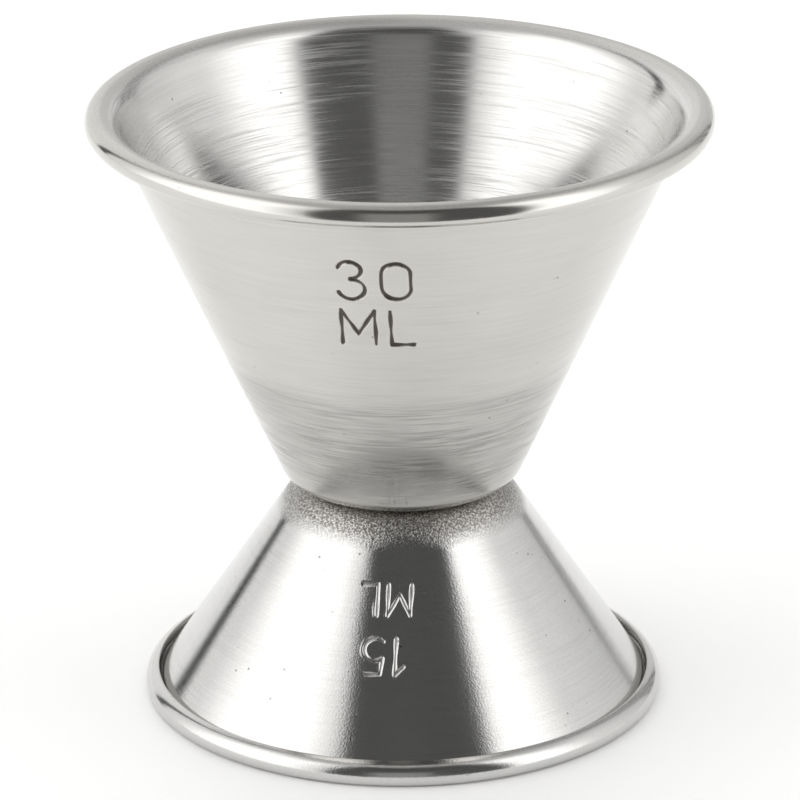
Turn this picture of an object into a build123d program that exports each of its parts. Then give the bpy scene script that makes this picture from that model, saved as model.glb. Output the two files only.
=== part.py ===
from build123d import *
import os
from math import asin, atan2, cos, degrees, hypot, pi, radians, sin, tan

# A double bar jigger: a large measuring cup standing on a small inverted one, the two
# pressed from sheet steel, rolled over at their rims and spot-welded floor to floor.
# Millimetres, +Z up, origin at the centre of the circle that the jigger stands on.
#
# Each cup is drawn in a frame of its own, with the outside of its floor at height 0 and
# its mouth up. The large cup is then lifted to the joint and the small one turned over.

# Overall sizes
HEIGHT = 51.8
JOINT_HEIGHT = 19.2             # where the outsides of the two floors meet
SHEET = 0.6
LAND_DEPTH = 0.02               # worn off each rolled rim, a flat ring to stand on

# Large cup: one fluid ounce to the brim
UPPER_RIM_RADIUS = 26.0         # to the outside of the rolled rim
UPPER_FOOT_RADIUS = 9.65        # where the wall's line meets the floor's
UPPER_CORNER = 2.0              # outside radius between floor and wall
UPPER_FLARE = 2.1               # radius on which the wall bends out to the rim's crest
UPPER_ROLL = [(0.96, 235.0)]    # bends of the roll from its crest: outside radius, degrees

# Small cup: half a fluid ounce
LOWER_RIM_RADIUS = 21.95
LOWER_FOOT_RADIUS = 8.7
LOWER_CORNER = 3.4
LOWER_FLARE = 0.75
LOWER_ROLL = [(0.75, 90.0), (1.35, 80.0)]

# Spot welds between the floors
WELD_COUNT = 3
WELD_CIRCLE = 4.0               # radius of the circle they lie on
WELD_FIRST_ANGLE = 90.0         # a place that stays put when the small cup is turned over
NUGGET_RADIUS = 1.5
NUGGET_HALF_THICKNESS = 0.3     # how far the fused lens reaches into each floor
DENT_RADIUS = 2.0               # left in the floor by the welding electrode
DENT_FLAT_RADIUS = 1.6
DENT_DEPTH = 0.08

# Stamped capacity marks, 30 ml and 15 ml, struck with plain round-ended punches
MARK_DEPTH = 0.12
MARK_TURN = 5.9                 # degrees round from the front, to the viewer's left
STROKE_WIDTH = 0.42
PUNCH_REACH = 1.0               # of each punch to either side of the wall, before trimming
LETTER_GAP = 0.34               # between two characters, as a share of their height
UPPER_MARK = [("30", 24.6, 3.9), ("ML", 19.85, 3.7)]    # text, height up the cup, its size
LOWER_MARK = [("15", 10.2, 3.0), ("ML", 6.25, 2.6)]

# Each character in a box one unit high with its foot at zero: width, then its strokes.
# A stroke of two points is straight, and one of three is an arc through the middle point.
GLYPHS = {
    "0": (0.60, [[(0, 0.3), (0.3, 0), (0.6, 0.3)], [(0.6, 0.3), (0.6, 0.7)],
                 [(0.6, 0.7), (0.3, 1), (0, 0.7)], [(0, 0.7), (0, 0.3)]]),
    "1": (0.24, [[(0.24, 0), (0.24, 1)], [(0.24, 1), (0, 0.78)]]),
    "3": (0.56, [[(0.02, 0.85), (0.44, 0.93), (0.26, 0.54)],
                 [(0.26, 0.54), (0.55, 0.22), (0, 0.14)]]),
    "5": (0.54, [[(0.5, 1), (0.06, 1)], [(0.06, 1), (0.03, 0.56)],
                 [(0.03, 0.56), (0.54, 0.32), (0, 0.08)]]),
    "L": (0.48, [[(0, 1), (0, 0)], [(0, 0), (0.48, 0)]]),
    "M": (0.74, [[(0, 0), (0, 1)], [(0, 1), (0.37, 0.3)], [(0.37, 0.3), (0.74, 1)],
                 [(0.74, 1), (0.74, 0)]]),
}

UPWARDS = (Align.CENTER, Align.CENTER, Align.MIN)


def wall_angle(crest_radius, height, foot_radius, flare):
    """Lean of the wall from upright, in radians, so that it runs smoothly into the flare."""
    across, up = crest_radius - foot_radius, height - flare
    return atan2(across, up) - asin((flare - SHEET) / hypot(across, up))


def turn(centre, radius, start, end):
    """Arc about a centre from one angle to another, in degrees."""
    middle = (start + end) / 2
    points = [
        (centre[0] + radius * cos(radians(a)), centre[1] + radius * sin(radians(a)))
        for a in (start, middle, end)
    ]
    return ThreePointArc(*points)


def rolled(crest_radius, height, roll):
    """The roll's outer and inner faces, each as a chain of arcs from the crest to the end."""
    outer, inner = [], []
    centre, angle, last_radius = (crest_radius, height), 90.0, 0.0
    for radius, sweep in roll:
        shift = last_radius - radius
        centre = (
            centre[0] + shift * cos(radians(angle)),
            centre[1] + shift * sin(radians(angle)),
        )
        outer.append(turn(centre, radius, angle, angle - sweep))
        inner.append(turn(centre, radius - SHEET, angle, angle - sweep))
        last_radius, angle = radius, angle - sweep
    return outer, inner


def shell_outline(crest_radius, height, foot_radius, corner, flare, roll):
    """Half section of a cup, as a closed face: floor, corner, wall, flare and rolled rim."""
    lean = wall_angle(crest_radius, height, foot_radius, flare)
    lean_deg = degrees(lean)
    floor_edge = foot_radius - corner * tan((pi / 2 - lean) / 2)
    corner_centre = (floor_edge, corner)
    flare_centre = (crest_radius, height - flare)
    corner_outside = turn(corner_centre, corner, -90, -lean_deg)
    corner_inside = turn(corner_centre, corner - SHEET, -lean_deg, -90)
    flare_outside = turn(flare_centre, flare - SHEET, 180 - lean_deg, 90)
    flare_inside = turn(flare_centre, flare, 90, 180 - lean_deg)
    roll_outer, roll_inner = rolled(crest_radius, height, roll)
    edges = [
        Line((0, 0), (floor_edge, 0)),
        corner_outside,
        Line(corner_outside @ 1, flare_outside @ 0),
        flare_outside,
        *roll_inner,
        Line(roll_inner[-1] @ 1, roll_outer[-1] @ 1),
        *roll_outer,
        flare_inside,
        Line(flare_inside @ 1, corner_inside @ 0),
        corner_inside,
        Line((floor_edge, SHEET), (0, SHEET)),
        Line((0, SHEET), (0, 0)),
    ]
    return Plane.XZ * make_face(edges)


def weld_places():
    """Where the spot welds are, in either cup's frame."""
    step = 360 / WELD_COUNT
    angles = [radians(WELD_FIRST_ANGLE + step * i) for i in range(WELD_COUNT)]
    return [Pos(WELD_CIRCLE * cos(a), WELD_CIRCLE * sin(a), 0) for a in angles]


def nugget():
    """Fused lens of metal, half of it in each floor."""
    depth = NUGGET_HALF_THICKNESS
    ball_radius = (NUGGET_RADIUS**2 + depth**2) / (2 * depth)
    shift = ball_radius - depth
    return Pos(0, 0, shift) * Sphere(ball_radius) & Pos(0, 0, -shift) * Sphere(ball_radius)


def electrode_dent():
    """Shallow dish that the welding electrode leaves in the floor of a cup."""
    dish = Cone(DENT_FLAT_RADIUS, DENT_RADIUS, DENT_DEPTH, align=UPWARDS)
    return Pos(0, 0, SHEET - DENT_DEPTH) * dish


def text_strokes(text, size):
    """Strokes of a line of text, centred on the origin, each a round-ended slot."""
    gap = LETTER_GAP * size
    widths = [GLYPHS[letter][0] * size for letter in text]
    left = -(sum(widths) + gap * (len(text) - 1)) / 2
    slots = []
    for letter, width in zip(text, widths):
        for stroke in GLYPHS[letter][1]:
            points = [(left + x * size, (y - 0.5) * size) for x, y in stroke]
            path = Line(*points) if len(points) == 2 else ThreePointArc(*points)
            slots.append(SlotArc(path, STROKE_WIDTH))
        left += width + gap
    return slots


def wall_skin(lean, foot_radius, height):
    """The outer layer of a conical wall that a stamp of MARK_DEPTH presses in."""
    reach = 2 * MARK_DEPTH
    inner, outer = MARK_DEPTH / cos(lean), reach / cos(lean)
    spread = height * tan(lean)
    section = Polyline(
        (foot_radius - inner, 0), (foot_radius + outer, 0),
        (foot_radius + spread + outer, height), (foot_radius + spread - inner, height),
        close=True,
    )
    return revolve(Plane.XZ * make_face(section), Axis.Z)


def stamp(lines, side, lean, foot_radius, height):
    """Grooves of the capacity mark, cut square to the wall. side is -1 to the left of front."""
    skin = wall_skin(lean, foot_radius, height)
    around = radians(side * MARK_TURN)
    right = Vector(cos(around), sin(around), 0)
    away = Vector(sin(around), -cos(around), 0)
    normal = away * cos(lean) - Vector(0, 0, sin(lean))
    grooves = []
    for text, level, size in lines:
        origin = away * (foot_radius + level * tan(lean)) + Vector(0, 0, level)
        face_plane = Plane(origin=origin, x_dir=right, z_dir=normal)
        for slot in text_strokes(text, size):
            grooves.append(extrude(face_plane * slot, amount=PUNCH_REACH, both=True) & skin)
    return grooves


def cup(rim_radius, height, foot_radius, corner, flare, roll, mark, mark_side):
    """One cup in its own frame, mouth up, with its welds' seats, dents and stamped mark."""
    drawn_height = height + LAND_DEPTH
    crest_radius = rim_radius - roll[0][0]
    outline = shell_outline(crest_radius, drawn_height, foot_radius, corner, flare, roll)
    body = revolve(outline, Axis.Z)
    body -= Pos(0, 0, height) * Cylinder(rim_radius, SHEET, align=UPWARDS)
    for place in weld_places():
        body -= place * nugget()
        body -= place * electrode_dent()
    lean = wall_angle(crest_radius, drawn_height, foot_radius, flare)
    for groove in stamp(mark, mark_side, lean, foot_radius, height):
        body -= groove
    return body


def upper_cup():
    return Pos(0, 0, JOINT_HEIGHT) * cup(
        UPPER_RIM_RADIUS, HEIGHT - JOINT_HEIGHT, UPPER_FOOT_RADIUS, UPPER_CORNER,
        UPPER_FLARE, UPPER_ROLL, UPPER_MARK, -1,
    )


def lower_cup():
    """Turned over about the Y axis, so its mark stays at the front and reads upside down."""
    return Pos(0, 0, JOINT_HEIGHT) * Rot(0, 180, 0) * cup(
        LOWER_RIM_RADIUS, JOINT_HEIGHT, LOWER_FOOT_RADIUS, LOWER_CORNER,
        LOWER_FLARE, LOWER_ROLL, LOWER_MARK, 1,
    )


def spot_welds():
    return Compound(children=[Pos(0, 0, JOINT_HEIGHT) * place * nugget() for place in weld_places()])


NODES = {"upper_cup": upper_cup, "lower_cup": lower_cup, "spot_welds": spot_welds}

os.makedirs("parts", exist_ok=True)
for name, build in NODES.items():
    export_step(build(), f"parts/{name}.step")
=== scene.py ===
import bpy
import math
import numpy as np
from mathutils import Matrix, Vector


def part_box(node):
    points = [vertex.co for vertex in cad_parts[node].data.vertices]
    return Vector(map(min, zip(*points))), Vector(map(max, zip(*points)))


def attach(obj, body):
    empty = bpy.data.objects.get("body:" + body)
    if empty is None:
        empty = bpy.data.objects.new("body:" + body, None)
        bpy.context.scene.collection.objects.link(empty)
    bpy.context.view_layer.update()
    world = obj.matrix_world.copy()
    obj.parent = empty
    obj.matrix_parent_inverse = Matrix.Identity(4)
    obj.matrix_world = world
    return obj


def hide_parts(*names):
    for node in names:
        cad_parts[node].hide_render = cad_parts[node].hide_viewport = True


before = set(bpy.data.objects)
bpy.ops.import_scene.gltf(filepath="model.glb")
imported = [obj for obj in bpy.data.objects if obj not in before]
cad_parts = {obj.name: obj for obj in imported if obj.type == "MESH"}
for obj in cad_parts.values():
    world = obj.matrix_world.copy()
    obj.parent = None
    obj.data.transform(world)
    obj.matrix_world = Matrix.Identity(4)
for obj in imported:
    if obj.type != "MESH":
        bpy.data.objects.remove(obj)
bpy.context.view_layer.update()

# Double bar jigger: a large cup standing on a small inverted one. Metres, +Z up, the front
# is -Y. Both cups are turned here as closed shells with their rolled rims, stamped marks,
# weld dents and the slight waviness of pressed sheet, inside the CAD nodes they stand for.
#
# A cup is drawn in a frame of its own, floor down and mouth up: radius and height above the
# outside of its floor. The large cup is then lifted to the joint, the small one turned over.

MM = 0.001

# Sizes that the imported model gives
LOWER_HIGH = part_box("lower_cup")[1]
UPPER_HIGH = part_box("upper_cup")[1]
JOINT_Z = LOWER_HIGH.z

# Sizes that a node's box doesn't show, as in the CAD design
SHEET = 0.6 * MM
LAND_DEPTH = 0.02 * MM          # flat worn on each rim, where it stands
WELD_CIRCLE = 4.0 * MM
WELD_ANGLES = [math.radians(90 + 120 * i) for i in range(3)]
DENT_RADIUS = 2.0 * MM
DENT_DEPTH = 0.08 * MM
DENT_LIP = 0.012 * MM           # metal raised round a dent
STROKE_DEPTH = 0.12 * MM
BURR_HEIGHT = 0.02 * MM
PIT_DEPTH = 0.005 * MM
LETTER_GAP = 0.34               # between two characters, as a share of their height
MARK_AZIMUTH = math.radians(-5.9)
WAVE = 0.006 * MM               # how far the pressed wall strays from a true cone
EDGE_ROUNDING = 0.06 * MM       # at the sheet's cut edges
EDGE_BURR = 0.025 * MM          # lip standing off the rolled rim along its cut edge
CREST_POINTS = 6                # of the roll's outer face, that count as the crest
CREST_END = 116                 # where the crest gives way to the wall, in the flare's degrees
MARK_COLUMNS = 92               # round the cup, across the stamped mark
OTHER_COLUMNS = 220             # and across the rest

# Slow bumps of the wall: share of WAVE, how many go round, radians per metre of wall, phase
WAVES = [(0.5, 3, 190, 0.7), (0.4, 5, -260, 2.1), (0.35, 9, 420, 4.0), (0.3, 14, -350, 1.1)]

# Band of coarser lines round the outside of the large cup's foot, over which a darker
# reflection is painted: height above the table at which it starts, and at which it has faded out
COARSE_REFLECTION_FOOT = (19.3 * MM, 19.7 * MM)
COARSE_REFLECTION_TOP = (30.0 * MM, 32.5 * MM)

# What the metal's colour turns to; the line colour also serves as a painted darker reflection over
# the band at the large cup's foot
LINE_AND_REFLECTION_COLOUR = (0.34, 0.335, 0.33)
HEAT_COLOUR = (0.42, 0.33, 0.24)
EDGE_COLOUR = (0.30, 0.26, 0.22)
# Painted shade for the stamped grooves
GROOVE_SHADE_COLOUR = (0.07, 0.055, 0.045)
PIT_COLOUR = (0.16, 0.15, 0.14)

# Camera, at a product shot's distance
CAMERA_DISTANCE = 476 * MM
CAMERA_ELEVATION = math.radians(21.05)
CAMERA_TARGET_Z = 25.76 * MM
CAMERA_OFFSET = -0.12 * MM
CAMERA_ROLL = math.radians(-0.34)
CAMERA_LENS = 254.95
SENSOR = 36.0

TABLE_FRONT = -68 * MM          # the table's front edge
TABLE_SIDE = 3.0                # from the object to its other edges
BACK_LAMP_POWER = 5.2           # watts
FRONT_LAMP_POWER = 3.6

# The studio as the metal mirrors it, in degrees: azimuth from the front, elevation. A fade
# is the two elevations it runs between; a span is its two azimuths and how soft each end is.
LEFT_BOX_SPAN = (-106.0, -45.0, 14.0, 11.0)
RIGHT_BOX_SPAN = (50.0, 82.0, 6.0, 14.0)
BOX_FADE = (54.0, 70.0)
GAP_SPAN = (-34.0, 46.0, 4.0, 4.0)          # dark, where the camera stands
GAP_FADE = (62.0, 80.0)
MIDDLE_SPAN = (-14.0, 12.0, 4.0, 4.0)       # a little lighter, in the middle of the gap
MIDDLE_FADE = (30.0, 36.0)
CEILING_FADE = (35.0, 80.0)
BACK_FADE = (92.0, 138.0)                   # azimuths from which the right back gets darker
SLIT_FADE = (56.0, 70.0)

# Dark upright gaps between the soft boxes: first and last azimuth, softness, strength
SLITS = [
    (-136.5, -128.5, 0.4, 0.93), (132.0, 154.0, 3.0, 0.12), (136.0, 138.5, 0.4, 0.7),
    (141.5, 144.0, 0.4, 0.85), (147.5, 150.5, 0.4, 0.85),
]

UPPER = {
    "rim": UPPER_HIGH.x, "height": UPPER_HIGH.z - JOINT_Z, "foot": 9.65 * MM, "side": 1,
    "corner": 2.0 * MM, "flare": 2.1 * MM, "roll": [(0.96 * MM, 235.0)],
    "mark": [("30", 24.6 * MM, 3.9 * MM), ("ML", 19.85 * MM, 3.7 * MM)],
    "mark_span": (17.7 * MM, 26.9 * MM), "mark_reach": math.radians(11.0),
    "stroke": 0.19 * MM,
}
LOWER = {
    "rim": LOWER_HIGH.x, "height": JOINT_Z, "foot": 8.7 * MM, "side": -1,
    "corner": 3.4 * MM, "flare": 0.75 * MM, "roll": [(0.75 * MM, 90.0), (1.35 * MM, 80.0)],
    "mark": [("15", 10.2 * MM, 3.0 * MM), ("ML", 6.25 * MM, 2.6 * MM)],
    "mark_span": (4.6 * MM, 12.2 * MM), "mark_reach": math.radians(12.5),
    "stroke": 0.15 * MM,
}

# Each character in a box one unit high with its foot at zero: width, then its strokes.
# A stroke of two points is straight, and one of three is an arc through the middle point.
GLYPHS = {
    "0": (0.60, [[(0, 0.3), (0.3, 0), (0.6, 0.3)], [(0.6, 0.3), (0.6, 0.7)],
                 [(0.6, 0.7), (0.3, 1), (0, 0.7)], [(0, 0.7), (0, 0.3)]]),
    "1": (0.24, [[(0.24, 0), (0.24, 1)], [(0.24, 1), (0, 0.78)]]),
    "3": (0.56, [[(0.02, 0.85), (0.44, 0.93), (0.26, 0.54)],
                 [(0.26, 0.54), (0.55, 0.22), (0, 0.14)]]),
    "5": (0.54, [[(0.5, 1), (0.06, 1)], [(0.06, 1), (0.03, 0.56)],
                 [(0.03, 0.56), (0.54, 0.32), (0, 0.08)]]),
    "L": (0.48, [[(0, 1), (0, 0)], [(0, 0), (0.48, 0)]]),
    "M": (0.74, [[(0, 0), (0, 1)], [(0, 1), (0.37, 0.3)], [(0.37, 0.3), (0.74, 1)],
                 [(0.74, 1), (0.74, 0)]]),
}


# ---------------------------------------------------------------- outlines

def crest_radius(cup):
    """Radius of the rim's highest circle."""
    return cup["rim"] - cup["roll"][0][0]


def wall_angle(cup):
    """Lean of the wall from upright, so that it runs smoothly into the flare of the rim."""
    across = crest_radius(cup) - cup["foot"]
    up = cup["height"] + LAND_DEPTH - cup["flare"]
    return math.atan2(across, up) - math.asin((cup["flare"] - SHEET) / math.hypot(across, up))


def arc(centre, radius, start, end, count):
    """Points on a circle about centre, from one angle to another in degrees."""
    angles = np.radians(np.linspace(start, end, count))
    return np.column_stack((centre[0] + radius * np.cos(angles),
                            centre[1] + radius * np.sin(angles)))


def line(start, end, step):
    """Points along a straight line, about a step apart."""
    count = max(2, int(round(math.dist(start, end) / step)) + 1)
    return np.linspace(start, end, count)


def rounded(before, corner, after, size):
    """A sharp corner of sheet with its burr gone: a short curve in place of the point."""
    before, corner, after = (np.asarray(p, float) for p in (before, corner, after))
    start = corner + (before - corner) / np.linalg.norm(before - corner) * size
    end = corner + (after - corner) / np.linalg.norm(after - corner) * size
    t = np.linspace(0, 1, 5)[:, None]
    return (1 - t) ** 2 * start + 2 * t * (1 - t) * corner + t**2 * end


def rolled(cup):
    """Points of the roll's outer face, cut edge to crest, and its inner face, crest to edge."""
    outer, inner = [], []
    centre = np.array((crest_radius(cup), cup["height"] + LAND_DEPTH))
    angle, last_radius = 90.0, 0.0
    for radius, sweep in cup["roll"]:
        away = np.array((math.cos(math.radians(angle)), math.sin(math.radians(angle))))
        centre = centre + (last_radius - radius) * away
        outer.append(arc(centre, radius, angle, angle - sweep, int(sweep / 5)))
        inner.append(arc(centre, radius - SHEET, angle, angle - sweep, int(sweep / 12)))
        last_radius, angle = radius, angle - sweep
    outer, inner = np.vstack(outer), np.vstack(inner)
    outer[-2:] += (outer[-1] - centre) / last_radius * EDGE_BURR
    return outer[::-1], inner


def rolled_rim(cup, lean_deg):
    """A cup's rim: the wall flares out to a crest, then rolls over and under."""
    top = cup["height"] + LAND_DEPTH
    flare = cup["flare"]
    bend = (crest_radius(cup), top - flare)
    outside, inside = rolled(cup)
    return [
        ("roll_in", arc(bend, flare - SHEET, 180 - lean_deg, 90, 8)),
        ("roll_in", inside[:-1]),
        ("edge", rounded(inside[-2], inside[-1], outside[0], EDGE_ROUNDING)),
        ("edge", rounded(inside[-1], outside[0], outside[1], EDGE_ROUNDING)),
        ("roll", outside[1:-CREST_POINTS]),
        ("rim_top", outside[-CREST_POINTS:]),
        ("rim_top", arc(bend, flare, 90, CREST_END, 9)),
        ("wall_in", arc(bend, flare, CREST_END, 180 - lean_deg, 12)),
    ]


def cup_outline(cup):
    """Half section of a cup, floor down: (radius, height) points and their zones' names."""
    lean = wall_angle(cup)
    lean_deg = math.degrees(lean)
    normal = np.array((math.cos(lean), -math.sin(lean)))
    corner, flare = cup["corner"], cup["flare"]
    floor_edge = cup["foot"] - corner * math.tan((math.pi / 2 - lean) / 2)
    corner_centre = np.array((floor_edge, corner))
    bend = np.array((crest_radius(cup), cup["height"] + LAND_DEPTH - flare))
    wall_start = corner_centre + corner * normal
    wall_end = bend - (flare - SHEET) * normal
    inner_end = bend - flare * normal
    inner_start = corner_centre + (corner - SHEET) * normal
    low, high = (
        np.array((cup["foot"] + level * math.tan(lean), level)) for level in cup["mark_span"]
    )
    stretches = [
        ("floor_out", line((0, 0), (floor_edge, 0), 1.0 * MM)),
        ("corner_out", arc(corner_centre, corner, -90, -lean_deg, 16)),
        ("wall_out", line(wall_start, low, 1.0 * MM)),
        ("wall_out", line(low, high, 0.1 * MM)),
        ("wall_out", line(high, wall_end, 0.7 * MM)),
        *rolled_rim(cup, lean_deg),
        ("wall_in", line(inner_end, inner_start, 1.0 * MM)),
        ("corner_in", arc(corner_centre, corner - SHEET, -lean_deg, -90, 12)),
        ("floor_in", line((floor_edge, SHEET), (0, SHEET), 0.3 * MM)),
    ]
    points, zones = [], []
    for zone, stretch in stretches:
        for point in stretch:
            if points and math.dist(points[-1], point) < 1e-7:
                continue
            points.append(tuple(point))
            zones.append(zone)
    points = np.array(points)
    points[:, 1] = np.minimum(points[:, 1], cup["height"])
    return points, np.array(zones)


# ---------------------------------------------------------------- stamped marks

def through(a, b, c, count=14):
    """Points along the circular arc from a to c through b."""
    (ax, ay), (bx, by), (cx, cy) = a, b, c
    d = 2 * (ax * (by - cy) + bx * (cy - ay) + cx * (ay - by))
    sa, sb, sc = ax * ax + ay * ay, bx * bx + by * by, cx * cx + cy * cy
    ux = (sa * (by - cy) + sb * (cy - ay) + sc * (ay - by)) / d
    uy = (sa * (cx - bx) + sb * (ax - cx) + sc * (bx - ax)) / d
    start, middle, end = (math.atan2(y - uy, x - ux) for x, y in (a, b, c))
    turn = (end - start) % (2 * math.pi)
    if (middle - start) % (2 * math.pi) > turn:
        turn -= 2 * math.pi
    radius = math.hypot(ax - ux, ay - uy)
    angles = start + turn * np.linspace(0, 1, count)
    return np.column_stack((ux + radius * np.cos(angles), uy + radius * np.sin(angles)))


def mark_segments(mark):
    """Every stroke of a mark as short straight pieces: arrays of starts and ends."""
    starts, ends = [], []
    for text, level, size in mark:
        widths = [GLYPHS[letter][0] * size for letter in text]
        left = -(sum(widths) + LETTER_GAP * size * (len(text) - 1)) / 2
        for letter, width in zip(text, widths):
            for stroke in GLYPHS[letter][1]:
                path = np.array(stroke) if len(stroke) == 2 else through(*stroke)
                path = path * size + (left, level - size / 2)
                starts.extend(path[:-1])
                ends.extend(path[1:])
            left += width + LETTER_GAP * size
    return np.array(starts), np.array(ends)


def distance_to(points, starts, ends):
    """Shortest distance from each point to any of the pieces of stroke."""
    nearest = np.full(len(points), 1.0)
    for a, b in zip(starts, ends):
        along = b - a
        t = np.clip((points - a) @ along / (along @ along), 0, 1)
        nearest = np.minimum(nearest, np.hypot(*(points - a - t[:, None] * along).T))
    return nearest


def smooth(low, high, value):
    t = np.clip((value - low) / (high - low), 0, 1)
    return t * t * (3 - 2 * t)


def strike(cup, radius, height, azimuth, lean):
    """How deep the punches press in at each place of the wall, and how much it is groove.

    The blow is uneven, so strokes vary in width and depth, with a broken burr beside them."""
    base = cup["mark_span"][0]
    across = (azimuth - MARK_AZIMUTH) * radius * cup["side"]
    level = (height - base) / math.cos(lean) + base
    places = np.column_stack((across, level))
    starts, ends = mark_segments([
        (text, (at - base) / math.cos(lean) + base, size) for text, at, size in cup["mark"]
    ])
    blow = np.sin(across * 2900 + 1.3) * np.sin(level * 2300 + 0.4)
    near = distance_to(places, starts, ends) / (cup["stroke"] * (1 + 0.22 * blow))
    groove = (1 - smooth(0.25, 1.15, near)) * (0.85 + 0.25 * blow)
    broken = 0.5 + 0.5 * np.sin(level * 1700 + across * 900)
    burr = np.exp(-(((near - 1.45) / 0.42) ** 2)) * broken
    return STROKE_DEPTH * groove - BURR_HEIGHT * burr, groove


# ---------------------------------------------------------------- turned shells

def columns(cup):
    """Azimuths round the cup from the front, close together across the stamped mark."""
    reach = cup["mark_reach"]
    fine = np.linspace(MARK_AZIMUTH - reach, MARK_AZIMUTH + reach, MARK_COLUMNS)
    rest = np.linspace(
        MARK_AZIMUTH + reach, MARK_AZIMUTH - reach + 2 * math.pi, OTHER_COLUMNS
    )
    return np.concatenate((fine, rest[1:-1]))


def waviness(azimuth, along):
    """Slow bumps of a pressed wall, in shares of WAVE."""
    return sum(
        share * np.sin(turns * azimuth + per_metre * along + phase)
        for share, turns, per_metre, phase in WAVES
    )


def zone_mask(zones, along, named, fade):
    """1 on the named zones, fading to 0 over a distance along the outline beyond them."""
    inside = along[np.isin(zones, named)]
    away = np.min(np.abs(along[:, None] - inside[None, :]), axis=1)
    return 1 - smooth(0, fade, away)


def dents(x, y):
    """Electrode marks on the inside of a floor: depth, and heat tint about each weld."""
    depth, heat = np.zeros_like(x), np.zeros_like(x)
    for angle in WELD_ANGLES:
        away = np.hypot(x - WELD_CIRCLE * math.cos(angle), y - WELD_CIRCLE * math.sin(angle))
        depth += DENT_DEPTH * (1 - smooth(0.55, 1.0, away / DENT_RADIUS))
        depth -= DENT_LIP * np.exp(-(((away / DENT_RADIUS - 1.08) / 0.12) ** 2))
        heat += np.exp(-((away / DENT_RADIUS) ** 4))
    return depth, heat


def turned(name, cup):
    """A cup as one closed shell with its zones kept as attributes for the material."""
    outline, zones = cup_outline(cup)
    along = np.concatenate(([0], np.cumsum(np.hypot(*np.diff(outline, axis=0).T))))
    tangent = np.gradient(outline, along, axis=0)
    tangent /= np.hypot(*tangent.T)[:, None]
    out = np.column_stack((tangent[:, 1], -tangent[:, 0]))
    azimuth = columns(cup)
    n_col = len(azimuth)
    ring = slice(1, len(outline) - 1)
    R, A = np.meshgrid(outline[ring, 0], azimuth, indexing="ij")
    H = np.repeat(outline[ring, 1][:, None], n_col, axis=1)
    S = np.repeat(along[ring][:, None], n_col, axis=1)
    zone = zones[ring]
    walls = zone_mask(zone, along[ring], ["wall_out", "wall_in"], 1.0 * MM)[:, None]
    curled = ["roll", "roll_in", "rim_top", "edge"]
    walls = walls * (1 - zone_mask(zone, along[ring], curled, 1.5 * MM)[:, None])
    offset = WAVE * waviness(A, S) * walls
    groove = np.zeros_like(R)
    wall = zone == "wall_out"
    lean = wall_angle(cup)
    depth, cut = strike(cup, R[wall].ravel(), H[wall].ravel(),
                        (A[wall].ravel() + math.pi) % (2 * math.pi) - math.pi, lean)
    offset[wall] -= depth.reshape(R[wall].shape)
    groove[wall] = cut.reshape(R[wall].shape)
    floor = zone == "floor_in"
    heat = np.zeros_like(R)
    dent, tint = dents(R[floor] * np.sin(A[floor]), -R[floor] * np.cos(A[floor]))
    offset[floor] -= dent
    heat[floor] = tint
    R = R + offset * out[ring, 0][:, None]
    H = np.minimum(H + offset * out[ring, 1][:, None], cup["height"])
    Z = JOINT_Z + cup["side"] * H
    ends_z = [JOINT_Z + cup["side"] * outline[i, 1] for i in (0, -1)]
    grid = np.stack((R * np.sin(A), -R * np.cos(A), Z), axis=-1).reshape(-1, 3)
    vertices = np.vstack((grid, [(0, 0, ends_z[0]), (0, 0, ends_z[1])]))
    faces = shell_faces(len(zone), n_col, cup["side"])
    mesh = bpy.data.meshes.new(name)
    mesh.from_pydata(vertices.tolist(), [], faces)
    mesh.polygons.foreach_set("use_smooth", np.ones(len(mesh.polygons), bool))
    wide = {
        "shoulder": zone_mask(zone, along[ring], ["corner_out"], 1.7 * MM),
        "rolled": zone_mask(zone, along[ring], curled, 0.5 * MM),
        "rim_top": zone_mask(zone, along[ring], ["rim_top"], 0.5 * MM),
        "edge": zone_mask(zone, along[ring], ["edge"], 0.1 * MM),
        "inside": np.isin(zone, ["wall_in", "corner_in", "floor_in"]).astype(float),
    }
    values = {key: np.repeat(row, n_col) for key, row in wide.items()}
    values |= {"along": S.ravel(), "groove": groove.ravel(), "heat": heat.ravel()}
    for key, flat in values.items():
        poles = (flat[0], flat[-1]) if key != "along" else (along[0], along[-1])
        layer = mesh.attributes.new(key, "FLOAT", "POINT")
        layer.data.foreach_set("value", np.concatenate((flat, poles)).astype(np.float32))
    mesh.update()
    piece = bpy.data.objects.new(name, mesh)
    bpy.context.scene.collection.objects.link(piece)
    return piece


def shell_faces(n_row, n_col, side):
    """Quads of a lathed grid, closed at each end by a fan to a pole."""
    i = np.arange(n_row - 1)[:, None] * n_col
    j = np.arange(n_col)
    after = (j + 1) % n_col
    quads = np.stack((i + j, i + after, i + n_col + after, i + n_col + j), axis=-1).reshape(-1, 4)
    first, last = n_row * n_col, n_row * n_col + 1
    base = (n_row - 1) * n_col
    start = np.stack((np.full(n_col, first), after, j), axis=-1)
    end = np.stack((np.full(n_col, last), base + j, base + after), axis=-1)
    faces = quads.tolist() + start.tolist() + end.tolist()
    return [face[::-1] for face in faces] if side < 0 else faces


# ---------------------------------------------------------------- shader nodes

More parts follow.
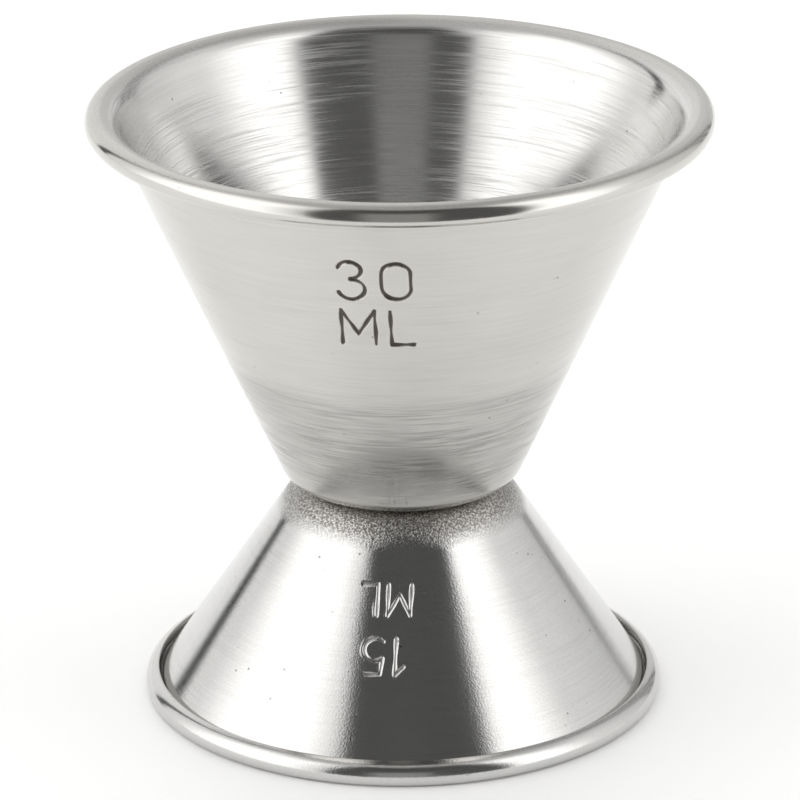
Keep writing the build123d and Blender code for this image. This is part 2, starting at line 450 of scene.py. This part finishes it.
class Shader:
    """Adds nodes to a tree by short calls, each returning its output socket."""

    def __init__(self, tree):
        self.tree = tree
        self.tree.nodes.clear()

    def node(self, kind, values=(), **settings):
        made = self.tree.nodes.new(kind)
        for key, value in settings.items():
            setattr(made, key, value)
        for key, value in dict(values).items():
            if isinstance(value, bpy.types.NodeSocket):
                self.tree.links.new(value, made.inputs[key])
            else:
                made.inputs[key].default_value = value
        return made

    def math(self, operation, a, b=None, c=None, clamp=False):
        values = {i: v for i, v in enumerate((a, b, c)) if v is not None}
        return self.node("ShaderNodeMath", values, operation=operation, use_clamp=clamp).outputs[0]

    def ramp(self, value, low, high, to_low=0.0, to_high=1.0):
        """value from low to high as a smooth step between two levels."""
        return self.node(
            "ShaderNodeMapRange",
            {"Value": value, "From Min": low, "From Max": high, "To Min": to_low, "To Max": to_high},
            interpolation_type="SMOOTHSTEP",
        ).outputs[0]

    def mix(self, share, a, b):
        """Two colours mixed by a share."""
        made = self.node("ShaderNodeMix", {"Factor": share}, data_type="RGBA")
        for socket, value in ((6, a), (7, b)):
            if isinstance(value, bpy.types.NodeSocket):
                self.tree.links.new(value, made.inputs[socket])
            else:
                made.inputs[socket].default_value = (*value, 1.0)
        return made.outputs[2]

    def noise(self, vector, scale, detail=2.0, roughness=0.5):
        return self.node(
            "ShaderNodeTexNoise",
            {"Vector": vector, "Scale": scale, "Detail": detail, "Roughness": roughness},
        ).outputs["Fac"]

    def attribute(self, name):
        return self.node("ShaderNodeAttribute", attribute_name=name).outputs["Fac"]

    def combine(self, x, y, z):
        return self.node("ShaderNodeCombineXYZ", {0: x, 1: y, 2: z}).outputs[0]

    def split(self, vector):
        return self.node("ShaderNodeSeparateXYZ", {0: vector}).outputs


def around(s, place, along, turns, lines):
    """Coordinates that stretch a pattern round the axis: long circles, fine across them."""
    x, y, _ = s.split(place)
    radius = s.math("SQRT", s.math("ADD", s.math("MULTIPLY", x, x), s.math("MULTIPLY", y, y)))
    radius = s.math("MAXIMUM", radius, 0.0001)
    return s.combine(
        s.math("MULTIPLY", s.math("DIVIDE", x, radius), turns),
        s.math("MULTIPLY", s.math("DIVIDE", y, radius), turns),
        s.math("MULTIPLY", along, lines),
    )


def steel(name, look):
    """Satin stainless steel, turned on a lathe: fine circular lines, orange-peel grain where it
    was stretched over the shoulder and the rim, small pits and scratches, painted shade in the
    stamped marks and on the small cup's shoulder, and a painted darker reflection round the
    large cup's foot."""
    material = bpy.data.materials.new(name)
    material.use_nodes = True
    s = Shader(material.node_tree)
    place = s.node("ShaderNodeTexCoord").outputs["Object"]
    along = s.attribute("along")
    shoulder, rolled = s.attribute("shoulder"), s.attribute("rolled")
    rim_top, edge = s.attribute("rim_top"), s.attribute("edge")
    groove, heat, inside = s.attribute("groove"), s.attribute("heat"), s.attribute("inside")

    # Circular lines left by the polishing wheel, stronger in some bands than in others
    fine = s.ramp(s.noise(around(s, place, along, 3.0, 7000.0), 1.0, 2.0, 0.6), 0.32, 0.68)
    broad = s.ramp(s.noise(around(s, place, along, 1.8, 3000.0), 1.0, 1.0, 0.5), 0.36, 0.64)
    single = s.ramp(s.noise(around(s, place, along, 1.2, 5000.0), 1.0, 0.0), 0.75, 0.82)
    bands = s.ramp(s.noise(around(s, place, along, 1.6, 420.0), 1.0, 1.0), 0.35, 0.66, 0.65, 1.0)
    height_up = s.split(place)[2]
    coarse_and_reflection = s.math("MULTIPLY", s.ramp(height_up, *COARSE_REFLECTION_FOOT),
                    s.ramp(height_up, *COARSE_REFLECTION_TOP, 1.0, 0.0))
    coarse_and_reflection = s.math("MULTIPLY", coarse_and_reflection, s.math("SUBTRACT", 1.0, inside))
    plain = s.math("MAXIMUM", s.math("MAXIMUM", inside, coarse_and_reflection), look["outside_lines"])
    curved = s.math("MAXIMUM", shoulder, rolled)
    brushed = s.math("MULTIPLY", s.math("MULTIPLY", bands, plain),
                     s.math("MULTIPLY_ADD", curved, -0.5, 1.0))
    streak = s.math("MULTIPLY_ADD", broad, 0.25, s.math("MULTIPLY", fine, 0.75))
    streak = s.math("MULTIPLY", streak, brushed)
    single = s.math("MULTIPLY", single, brushed)

    # Grain of stretched metal, pits and stray scratches; on the small cup's shoulder the grain mask
    # also carries painted shade under the large cup
    grain = s.noise(place, look["grain_scale"], 2.0, 0.6)
    stretched = s.math("MULTIPLY", shoulder, look["shoulder_grain_and_shade"])
    grainy = s.math("MAXIMUM", stretched, s.math("MULTIPLY", rim_top, look["rim_grain"]))
    grainy = s.math("MAXIMUM", grainy, look["wall_grain"], clamp=True)
    peel = s.math("MULTIPLY", s.math("SUBTRACT", grain, 0.5),
                  s.math("MULTIPLY", grainy, look["grain"]))
    cells = s.node("ShaderNodeTexVoronoi", {"Vector": place, "Scale": 900.0})
    pits = s.ramp(cells.outputs["Distance"], 0.06, 0.13, 1.0, 0.0)
    pits = s.math("MULTIPLY", pits,
                  s.ramp(s.noise(place, 230.0, 1.0), look["pit_level"], look["pit_level"] + 0.1))
    cloud = s.ramp(s.noise(place, 90.0, 3.0, 0.6), 0.3, 0.75)

    # Relief, in metres
    height = s.math("MULTIPLY_ADD", streak, look["line_height"], peel)
    height = s.math("MULTIPLY_ADD", pits, -PIT_DEPTH, height)
    bump = s.node("ShaderNodeBump", {"Height": height, "Strength": 1.0, "Distance": 1.0})

    # Colour; the lines darken it least inside the cup and most in the coarse band, and the whole
    # band gets a painted darker reflection
    colour = s.mix(cloud, look["tint"], look["shade"])
    colour = s.mix(inside, colour, look["inside_tint"])
    line_and_band_darkening = s.math("MULTIPLY_ADD", inside, -0.16, s.math("MULTIPLY_ADD", coarse_and_reflection, 0.4, 0.36))
    colour = s.mix(s.math("MULTIPLY", streak, line_and_band_darkening), colour, LINE_AND_REFLECTION_COLOUR)
    # Painted reflection: the whole band at the large cup's foot is darkened evenly
    colour = s.mix(s.math("MULTIPLY", coarse_and_reflection, 0.2), colour, LINE_AND_REFLECTION_COLOUR)
    colour = s.mix(s.math("MULTIPLY", heat, 0.45), colour, HEAT_COLOUR)
    # Specks in the grain's own colour; on the small cup's shoulder, under the large cup, the dark
    # brown is painted shade as well as grain
    dust_and_shade_share = s.math("MULTIPLY", grainy, s.ramp(grain, 0.37, 0.60, 0.2, 1.0))
    colour = s.mix(dust_and_shade_share, colour, look["dust_and_shade"])
    colour = s.mix(s.math("MULTIPLY", edge, 0.3), colour, EDGE_COLOUR)
    # Painted shade: the stamped grooves are darkened towards black, most on the large cup
    colour = s.mix(s.math("MULTIPLY", s.ramp(groove, 0.08, 0.55), look["mark_painted_shade"]),
                   colour, GROOVE_SHADE_COLOUR)
    colour = s.mix(s.math("MULTIPLY", pits, 0.75), colour, PIT_COLOUR)

    # Roughness; only the strongest lines spread the mirrored light much
    rough = s.math("MULTIPLY_ADD", cloud, 0.04, look["roughness"])
    rough = s.math("MULTIPLY_ADD", s.math("MULTIPLY", streak, streak), look["line_spread"], rough)
    rough = s.math("MULTIPLY_ADD", single, look["scratch_spread"], rough)
    rough = s.math("MULTIPLY_ADD", coarse_and_reflection, -0.05, rough)
    rough = s.math("MULTIPLY_ADD", s.math("MAXIMUM", stretched, rim_top), 0.12, rough)
    rough = s.math("MULTIPLY_ADD", groove, 0.25, rough, clamp=True)

    # Circular lines stretch the mirrored light up and down the wall
    tangent = s.node("ShaderNodeTangent", direction_type="RADIAL", axis="Z").outputs[0]
    surface = s.node("ShaderNodeBsdfPrincipled", {
        "Base Color": colour, "Metallic": 1.0, "Roughness": rough,
        "Anisotropic": s.math("MULTIPLY_ADD", streak, -0.5, 0.75), "Anisotropic Rotation": 0.25,
        "Normal": bump.outputs[0], "Tangent": tangent,
    })
    s.node("ShaderNodeOutputMaterial", {"Surface": surface.outputs[0]})
    return material


def weld_steel():
    """Dull fused metal of the spot welds."""
    material = bpy.data.materials.new("weld_steel")
    material.use_nodes = True
    s = Shader(material.node_tree)
    place = s.node("ShaderNodeTexCoord").outputs["Object"]
    blotch = s.noise(place, 1500.0, 3.0, 0.6)
    bump = s.node("ShaderNodeBump", {"Height": s.math("MULTIPLY", blotch, 1e-5), "Distance": 1.0})
    surface = s.node("ShaderNodeBsdfPrincipled", {
        "Base Color": s.mix(blotch, (0.34, 0.31, 0.28), (0.55, 0.52, 0.48)), "Metallic": 1.0,
        "Roughness": s.ramp(blotch, 0.2, 0.8, 0.4, 0.6), "Normal": bump.outputs[0],
    })
    s.node("ShaderNodeOutputMaterial", {"Surface": surface.outputs[0]})
    return material


# ---------------------------------------------------------------- studio

def studio_floor():
    """Plain pale table that ends a little way in front of the object."""
    mesh = bpy.data.meshes.new("floor")
    front, side = TABLE_FRONT, TABLE_SIDE
    corners = [(-side, front, 0), (side, front, 0), (side, side, 0), (-side, side, 0)]
    mesh.from_pydata(corners, [], [(0, 1, 2, 3)])
    floor = bpy.data.objects.new("floor", mesh)
    bpy.context.scene.collection.objects.link(floor)
    material = bpy.data.materials.new("table")
    material.use_nodes = True
    s = Shader(material.node_tree)
    place = s.node("ShaderNodeTexCoord").outputs["Object"]
    surface = s.node("ShaderNodeBsdfPrincipled", {
        "Base Color": s.mix(s.noise(place, 30.0), (0.955, 0.955, 0.95), (0.965, 0.965, 0.965)),
        "Roughness": 0.8, "Specular IOR Level": 0.2,
    })
    s.node("ShaderNodeOutputMaterial", {"Surface": surface.outputs[0]})
    mesh.materials.append(material)


def table_lamp(name, place, size, power):
    """A wide soft lamp for the table alone: it isn't mirrored in the metal."""
    data = bpy.data.lights.new(name, "AREA")
    data.shape, data.size, data.energy = "DISK", size, power
    lamp = bpy.data.objects.new(name, data)
    lamp.location = place
    lamp.rotation_mode = "QUATERNION"
    lamp.rotation_quaternion = Vector(place).to_track_quat("Z", "Y")
    lamp.visible_glossy = False
    bpy.context.scene.collection.objects.link(lamp)


def band(s, angle, low, high, soft_low, soft_high):
    """1 between two directions, with soft edges, in degrees."""
    rise = s.ramp(angle, low - soft_low, low + soft_low)
    fall = s.ramp(angle, high - soft_high, high + soft_high, 1.0, 0.0)
    return s.math("MULTIPLY", rise, fall)


def studio_light():
    """A white room with a large soft box to each side, darker where the camera stands."""
    world = bpy.data.worlds.new("studio")
    world.use_nodes = True
    bpy.context.scene.world = world
    s = Shader(world.node_tree)
    x, y, z = s.split(s.node("ShaderNodeTexCoord").outputs["Generated"])
    azimuth = s.math("DEGREES", s.math("ARCTAN2", x, s.math("MULTIPLY", y, -1.0)))
    elevation = s.math("DEGREES", s.math("ARCSINE", z))
    box_height = s.ramp(elevation, *BOX_FADE, 1.0, 0.0)
    gap_height = s.ramp(elevation, *GAP_FADE, 1.0, 0.0)
    slit_height = s.ramp(elevation, *SLIT_FADE, 1.0, 0.0)

    light = s.ramp(elevation, *CEILING_FADE, 1.0, 0.55)
    light = s.math("MULTIPLY", light, s.ramp(azimuth, *BACK_FADE, 1.0, 0.76))
    left = s.math("MULTIPLY", band(s, azimuth, *LEFT_BOX_SPAN), box_height)
    light = s.math("MULTIPLY_ADD", left, 0.72, light)
    right = s.math("MULTIPLY", band(s, azimuth, *RIGHT_BOX_SPAN), box_height)
    light = s.math("MULTIPLY_ADD", right, 0.75, light)
    gap = s.math("MULTIPLY", band(s, azimuth, *GAP_SPAN), gap_height)
    light = s.math("MULTIPLY", light, s.math("MULTIPLY_ADD", gap, -0.895, 1.0))
    middle = band(s, azimuth, *MIDDLE_SPAN)
    middle = s.math("MULTIPLY", middle, s.ramp(elevation, *MIDDLE_FADE, 1.0, 0.0))
    light = s.math("MULTIPLY_ADD", middle, 0.22, light)
    for start, end, soft, share in SLITS:
        slit = s.math("MULTIPLY", band(s, azimuth, start, end, soft, soft), slit_height)
        light = s.math("MULTIPLY", light, s.math("MULTIPLY_ADD", slit, -share, 1.0))

    background = s.node(
        "ShaderNodeBackground", {"Color": (1.0, 0.995, 0.985, 1.0), "Strength": light}
    )
    plain = s.node("ShaderNodeBackground", {"Color": (1.0, 1.0, 1.0, 1.0), "Strength": 1.0})
    seen = s.node("ShaderNodeLightPath").outputs["Is Camera Ray"]
    both = s.node("ShaderNodeMixShader", {0: seen, 1: background.outputs[0], 2: plain.outputs[0]})
    s.node("ShaderNodeOutputWorld", {"Surface": both.outputs[0]})


def studio_camera():
    data = bpy.data.cameras.new("camera")
    data.lens, data.sensor_width = CAMERA_LENS, SENSOR
    data.clip_start, data.clip_end = 0.01, 20.0
    camera = bpy.data.objects.new("camera", data)
    bpy.context.scene.collection.objects.link(camera)
    back = Vector((0, -math.cos(CAMERA_ELEVATION), math.sin(CAMERA_ELEVATION)))
    up = Vector((0, math.sin(CAMERA_ELEVATION), math.cos(CAMERA_ELEVATION)))
    right = Vector((1, 0, 0))
    level = Matrix((right, up, back)).transposed()
    camera.rotation_mode = "QUATERNION"
    camera.rotation_quaternion = (level @ Matrix.Rotation(CAMERA_ROLL, 3, "Z")).to_quaternion()
    camera.location = Vector((CAMERA_OFFSET, 0, CAMERA_TARGET_Z)) + back * CAMERA_DISTANCE
    bpy.context.scene.camera = camera


# ---------------------------------------------------------------- the object

UPPER_LOOK = {
    "tint": (0.648, 0.636, 0.608), "shade": (0.622, 0.610, 0.582),
    "inside_tint": (0.695, 0.69, 0.68), "roughness": 0.15,
    "line_height": 0.3e-6, "line_spread": 0.26, "outside_lines": 0.5, "scratch_spread": 0.22,
    "grain": 1.2e-5, "grain_scale": 5200.0, "dust_and_shade": (0.42, 0.41, 0.40),
    "shoulder_grain_and_shade": 0.0, "rim_grain": 0.3, "wall_grain": 0.0,
    "pit_level": 0.62, "mark_painted_shade": 0.92,
}
LOWER_LOOK = {
    "tint": (0.685, 0.682, 0.675), "shade": (0.66, 0.657, 0.65),
    "inside_tint": (0.66, 0.655, 0.645), "roughness": 0.12,
    "line_height": 0.25e-6, "line_spread": 0.10, "outside_lines": 0.45, "scratch_spread": 0.1,
    # Painted shade as well as grain: dark brown on the shoulder under the large cup
    "grain": 9.0e-5, "grain_scale": 6000.0, "dust_and_shade": (0.19, 0.175, 0.16),
    "shoulder_grain_and_shade": 1.0, "rim_grain": 0.4, "wall_grain": 0.08,
    "pit_level": 0.52, "mark_painted_shade": 0.35,
}

for shell, cup, node, look in (
    ("upper_shell", UPPER, "upper_cup", UPPER_LOOK),
    ("lower_shell", LOWER, "lower_cup", LOWER_LOOK),
):
    piece = turned(shell, cup)
    piece.data.materials.append(steel(node + "_steel", look))
    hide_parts(node)
    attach(piece, "root")

weld = weld_steel()
for weld_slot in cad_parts["spot_welds"].material_slots:
    weld_slot.material = weld

studio_floor()
table_lamp("back_lamp", (0, 0.6, 1.0), 1.6, BACK_LAMP_POWER)
table_lamp("front_lamp", (0, -0.8, 0.55), 1.2, FRONT_LAMP_POWER)
studio_light()
studio_camera()
bpy.context.scene.view_settings.view_transform = "Standard"
